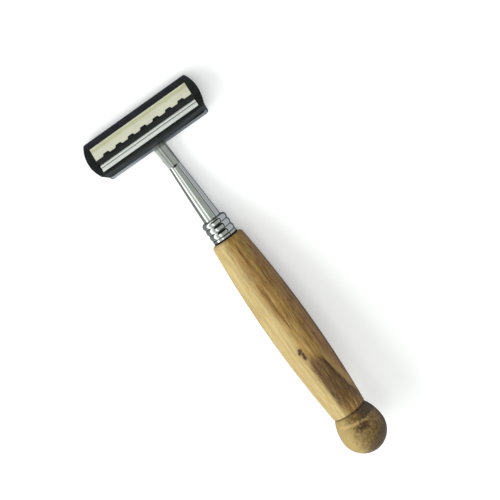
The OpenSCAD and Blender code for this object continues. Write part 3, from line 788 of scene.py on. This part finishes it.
def ferrule_profile():
    """Rounded beads between narrow grooves, with a domed top around the neck's spigot."""
    rise = BEAD_RADIUS - BEAD_GROOVE_RADIUS
    bead_arc = ((BEAD_PITCH / 2) ** 2 + rise ** 2) / (2 * rise)
    half_angle = math.degrees(math.asin(BEAD_PITCH / 2 / bead_arc))
    profile = [(HOLE_RADIUS, NECK_Y - SPIGOT_LENGTH), (HOLE_RADIUS, COLLAR_TOP)]
    for i in range(BEAD_COUNT - 1):
        centre = (BEAD_RADIUS - bead_arc, COLLAR_TOP + (i + 0.5) * BEAD_PITCH)
        profile += arc(centre, bead_arc, -half_angle, half_angle, 14)
    profile += arc((BEAD_RADIUS - bead_arc, NECK_Y - BEAD_PITCH / 2), bead_arc, -half_angle, 0, 7)
    dome = BEAD_PITCH / 2
    profile += arc((BEAD_RADIUS - dome, NECK_Y - dome), dome, 0, 90, 12)[1:]
    profile += [(SPIGOT_RADIUS, NECK_Y), (SPIGOT_RADIUS, NECK_Y - SPIGOT_LENGTH)]
    return profile


def neck_profile():
    """A slightly bulging cone with a spigot, a hole for the stud and a socket for the arm."""
    steps = 40
    bulge = 1.25
    tip_round = 0.15
    profile = [
        (0, NECK_Y - SPIGOT_LENGTH + STUD_DEPTH_IN_NECK),
        (HOLE_RADIUS, NECK_Y - SPIGOT_LENGTH + STUD_DEPTH_IN_NECK),
        (HOLE_RADIUS, NECK_Y - SPIGOT_LENGTH),
        (SPIGOT_RADIUS, NECK_Y - SPIGOT_LENGTH),
        (SPIGOT_RADIUS, NECK_Y),
    ]
    for i in range(steps + 1):
        part = i / steps
        radius = NECK_BASE_RADIUS + (NECK_TIP_RADIUS - NECK_BASE_RADIUS) * part ** bulge
        profile.append((radius, NECK_Y + (NECK_LENGTH - tip_round) * part))
    profile += arc((NECK_TIP_RADIUS - tip_round, KNEE_Y - tip_round), tip_round, 20, 90, 5)
    profile += [(SOCKET_RADIUS, KNEE_Y), (SOCKET_RADIUS, KNEE_Y - SOCKET_DEPTH), (0, KNEE_Y - SOCKET_DEPTH)]
    return profile


add_piece("beaded_ferrule", revolve(ferrule_profile()), HANDLE, "ferrule", "chrome_plate")
add_piece("tapered_neck", revolve(neck_profile()), HANDLE, "neck", "chrome_plate")

# --------------------------------------------------------------------------------------------------
# Arm and T-bar
# --------------------------------------------------------------------------------------------------


def arm_shape():
    """Two front facets that meet in a ridge, from the knee up into the T-bar, widening and flattening."""
    outline = rounded([
        (0, ARM_RIDGE_Z, 0.25), (ARM_HALF_WIDTH, ARM_EDGE_Z, 0.3), (ARM_HALF_WIDTH, -ARM_EDGE_Z, 0.3),
        (ARM_BACK_HALF_WIDTH, -ARM_RIDGE_Z, 0.35), (-ARM_BACK_HALF_WIDTH, -ARM_RIDGE_Z, 0.35),
        (-ARM_HALF_WIDTH, -ARM_EDGE_Z, 0.3), (-ARM_HALF_WIDTH, ARM_EDGE_Z, 0.3),
    ])
    to_head = HEAD.inverted() @ HANDLE
    bend = math.atan2(ARM_RISE, ARM_LENGTH)
    forward = Vector((0, math.cos(bend), math.sin(bend)))
    upward = Vector((0, -math.sin(bend), math.cos(bend)))
    foot = []
    head = []
    for x, z in outline:
        foot.append(Vector((x, KNEE_Y, z)))
        end = Vector((0, KNEE_Y + ARM_LENGTH, ARM_RISE))
        end += Vector((x * ARM_WIDENING, 0, 0)) + upward * z * ARM_FLATTENING
        here = to_head @ (end * MM) / MM
        step = to_head.to_3x3() @ forward
        end += forward * (T_BAR_LOW_V + ARM_SUNK_IN_BAR - here.y) / step.y
        head.append(end)
    steps = 12
    return loft([[a.lerp(b, i / steps) for a, b in zip(foot, head)] for i in range(steps + 1)])


add_piece("ridged_arm", arm_shape(), HANDLE, "head_arm", "chrome_plate", smooth_below=12)


def on_bar_outside(middle):
    """True for an edge below the rail that isn't part of the plunger's bore."""
    from_plunger = math.hypot(middle.x, middle.y - PLUNGER_V)
    return middle.z < -0.05 and from_plunger > 1.4


t_bar = local_copy("t_bar", HEAD)
round_edges(t_bar, 0.3, on_bar_outside)
add_piece("cast_t_bar", t_bar, HEAD, "t_bar", "chrome_plate")


def spring_shape():
    """A coil of round wire between the plug and the plunger's flange."""
    steps_per_turn = 32
    sides = 12
    low = SPRING_LOW_W + SPRING_WIRE_RADIUS
    high = SPRING_HIGH_W - SPRING_WIRE_RADIUS
    steps = round(SPRING_TURNS * steps_per_turn)
    sections = []
    for i in range(steps + 1):
        turn = TURN * i / steps_per_turn
        middle_w = low + (high - low) * i / steps
        section = []
        for j in range(sides):
            side = TURN * j / sides
            out = SPRING_RADIUS + SPRING_WIRE_RADIUS * math.cos(side)
            section.append((out * math.cos(turn), PLUNGER_V + out * math.sin(turn),
                            middle_w + SPRING_WIRE_RADIUS * math.sin(side)))
        sections.append(section)
    return loft(sections)


spring = add_piece("coil_spring", spring_shape(), HEAD, "retainer_spring", "stud_steel")
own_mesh(spring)

# --------------------------------------------------------------------------------------------------
# Cartridge
# --------------------------------------------------------------------------------------------------


def on_cheek_rim(middle):
    """True for an edge on the outer, upper part of an end cheek."""
    return abs(middle.x) > 19.2 and middle.z > 1.8


for side in ("left", "right"):
    cheek = local_copy(side + "_end_cheek", HEAD)
    round_edges(cheek, 0.45, on_cheek_rim, segments=4)
    add_piece(side + "_cheek_moulding", cheek, HEAD, side + "_end_cheek", "cartridge_plastic")

for name, node, slot, width in (
        ("seat_moulding", "cartridge_seat", "cartridge_plastic", 0.1),
        ("cap_moulding", "cap", "cartridge_plastic", 0.08),
        ("waxy_strip", "lubricating_strip", "strip_polymer", 0.07),
        ("charcoal_top_bar", "top_bar", "bar_plastic", 0.16),
):
    shape = local_copy(node, HEAD)
    round_edges(shape, width)
    add_piece(name, shape, HEAD, node, slot)

# The other CAD nodes keep their shapes, and get their slots' materials
CARRIED_OVER = {
    "blade_steel": ("seat_blade", "blade_spacer", "cap_blade"),
    "stud_steel": ("handle_stud", "retainer_plunger"),
    "chrome_plate": ("retainer_plug",),
    "insert_brass": ("threaded_insert",),
}
for slot, nodes in CARRIED_OVER.items():
    for node in nodes:
        frame["nodes"][node].data.materials.clear()
        frame["nodes"][node].data.materials.append(MATERIALS[slot])

# --------------------------------------------------------------------------------------------------
# Stage: floor, studio light and camera
# --------------------------------------------------------------------------------------------------


ROOM_STRENGTH = 1.25
FLOOR_GLOW = 0.25
ROOM_COLOUR = srgb(192, 199, 195)
ROOM_BANDS = (
    (-200.0, -86.0, 4.0, srgb(120, 122, 123)),
    (-74.0, -60.0, 3.0, srgb(330, 332, 328)),
    (-52.0, -30.0, 4.0, srgb(180, 185, 180)),
    (-25.0, -13.0, 3.0, srgb(252, 254, 252)),
    (-4.0, 44.0, 5.0, srgb(146, 151, 146)),
    (53.0, 64.0, 3.0, srgb(40, 46, 44)),
    (72.0, 126.0, 4.0, srgb(160, 162, 166)),
    (136.0, 200.0, 4.0, srgb(80, 86, 98)),
)


def add_floor():
    """A plain pale sheet that the razor lies on. It gives off a little light, as a light table does."""
    half = 3.0
    mesh = bpy.data.meshes.new("floor")
    corners = [(-half, -half, 0), (half, -half, 0), (half, half, 0), (-half, half, 0)]
    mesh.from_pydata(corners, [], [(0, 1, 2, 3)])
    surface = Surface("pale_floor", Matrix(), Roughness=0.9, Specular_IOR_Level=0.1)
    tooth = surface.noise(surface.place, 0.8, 3.0)
    surface.set(Base_Color=surface.mix(tooth, srgb(244, 244, 244), srgb(241, 241, 242)))
    surface.shader.inputs["Emission Color"].default_value = (1, 1, 1, 1)
    surface.shader.inputs["Emission Strength"].default_value = FLOOR_GLOW
    mesh.materials.append(surface.material)
    floor = bpy.data.objects.new("floor", mesh)
    floor.visible_glossy = False
    bpy.context.scene.collection.objects.link(floor)


def add_studio():
    """A soft pale room, whose ceiling has long light and grey bands along the razor, as in a product booth.

    A band is a range of lean: the angle from straight up towards +X, in degrees."""
    world = bpy.data.worlds.new("studio")
    world.use_nodes = True
    bpy.context.scene.world = world
    g = Graph(world.node_tree)
    direction = g.node("ShaderNodeTexCoord").outputs["Generated"]
    x, y, z = g.parts(direction)
    lean = g.multiply(g.math("ARCTAN2", x, z), 360 / TURN)
    colour = ROOM_COLOUR
    for low, high, soft, band_colour in ROOM_BANDS:
        colour = g.mix(g.window(lean, low, high, soft), colour, band_colour)

    # A dark hood over the head's end, and a light sweep below the horizon at the knob's end
    dark_hood = g.multiply(g.window(y, 0.23, 0.86, 0.04), g.window(lean, -32.0, 50.0, 6.0))
    colour = g.mix(dark_hood, colour, srgb(24, 27, 26))
    bright_sweep = g.multiply(g.ramp(y, -0.42, -0.56), g.ramp(z, 0.05, -0.05))
    colour = g.mix(bright_sweep, colour, srgb(158, 166, 174))
    background = g.node("ShaderNodeBackground", {"Color": colour, "Strength": ROOM_STRENGTH})
    output = g.node("ShaderNodeOutputWorld")
    g.tree.links.new(background.outputs["Background"], output.inputs["Surface"])


def add_softbox(name, place, aim, width, length, power):
    """A long area light, its length along the razor."""
    data = bpy.data.lights.new(name, "AREA")
    data.shape = "RECTANGLE"
    data.size = width
    data.size_y = length
    data.energy = power
    light = bpy.data.objects.new(name, data)
    back = (Vector(place) - Vector(aim)).normalized()
    side = Vector((0, 1, 0)).cross(back).normalized()
    rotation = Matrix((side, back.cross(side), back)).transposed()
    light.matrix_world = Matrix.Translation(place) @ rotation.to_4x4()
    light.visible_camera = False
    light.visible_glossy = False
    bpy.context.scene.collection.objects.link(light)


def add_camera():
    """Above the razor and to its right, so that the razor lies from upper left to lower right."""
    data = bpy.data.cameras.new("camera")
    data.sensor_width = 36
    data.lens = 108
    data.clip_start = 0.01
    camera = bpy.data.objects.new("camera", data)
    camera.location = Vector((78.7, 115.7, 458.7)) * MM
    camera.rotation_euler = Euler([math.radians(a) for a in (-16.02, -0.08, -35.43)])
    bpy.context.scene.collection.objects.link(camera)
    bpy.context.scene.camera = camera


add_floor()
add_studio()
add_softbox("key", (-0.42, 0.0, 0.38), (0, 0, 0), 0.2, 0.6, 1.3)
add_softbox("overhead", (0.1, 0.0, 0.7), (0, 0, 0), 0.8, 0.8, 2.3)
add_camera()
bpy.context.scene.view_settings.view_transform = "Standard"
